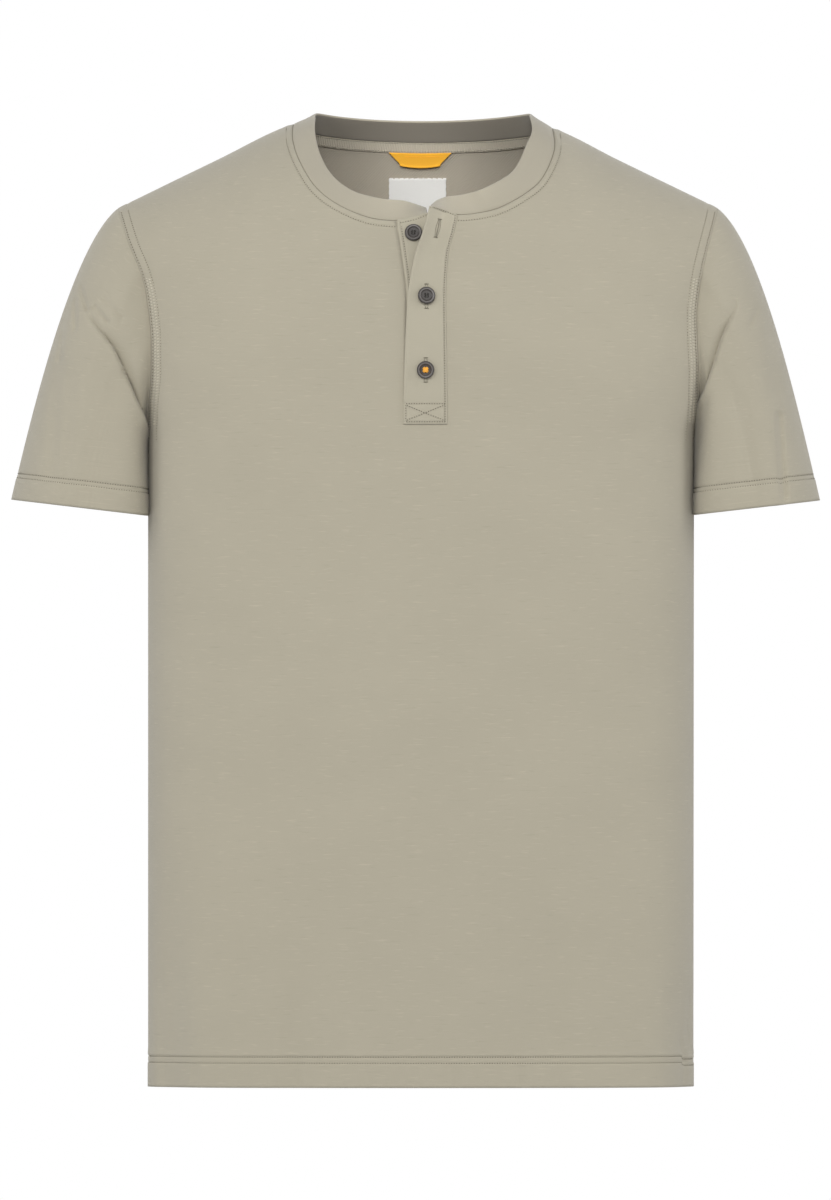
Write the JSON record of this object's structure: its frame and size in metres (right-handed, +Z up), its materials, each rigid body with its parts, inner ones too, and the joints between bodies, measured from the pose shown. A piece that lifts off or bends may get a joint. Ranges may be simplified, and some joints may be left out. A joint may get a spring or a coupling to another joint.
{
  "type": "short-sleeved henley shirt",
  "caption": "Short-sleeved henley shirt in plain jersey, filled out as if worn, with a banded round neck and a buttoned placket open at the top.",
  "frame": {"origin": "midway between the two neck points, where the neck seam meets the shoulder seams", "axes": "+Z up, +Y from the front to the back, +X towards the wearer's left"},
  "size_m": [0.606, 0.2191, 0.7302],
  "materials": {
    "jersey": "matt cotton jersey with faint slubs, sage beige",
    "strip": "matt double jersey, edge stitched",
    "band": "matt folded jersey",
    "tape": "matt cotton tape, faintly ribbed",
    "loop": "orange woven ribbon",
    "label": "plain woven off-white patch",
    "button": "dark charcoal, satin, with a raised rim"
  },
  "bodies": {
    "root": {"front": "jersey", "back": "jersey", "sleeve_right": "jersey", "sleeve_left": "jersey", "placket_under": "strip", "placket_upper": "strip", "neckband": "band", "neck_tape": "tape", "hanging_loop": "loop", "neck_label": "label", "button_1": "button", "button_2": "button", "button_3": "button"}
  },
  "joints": []
}
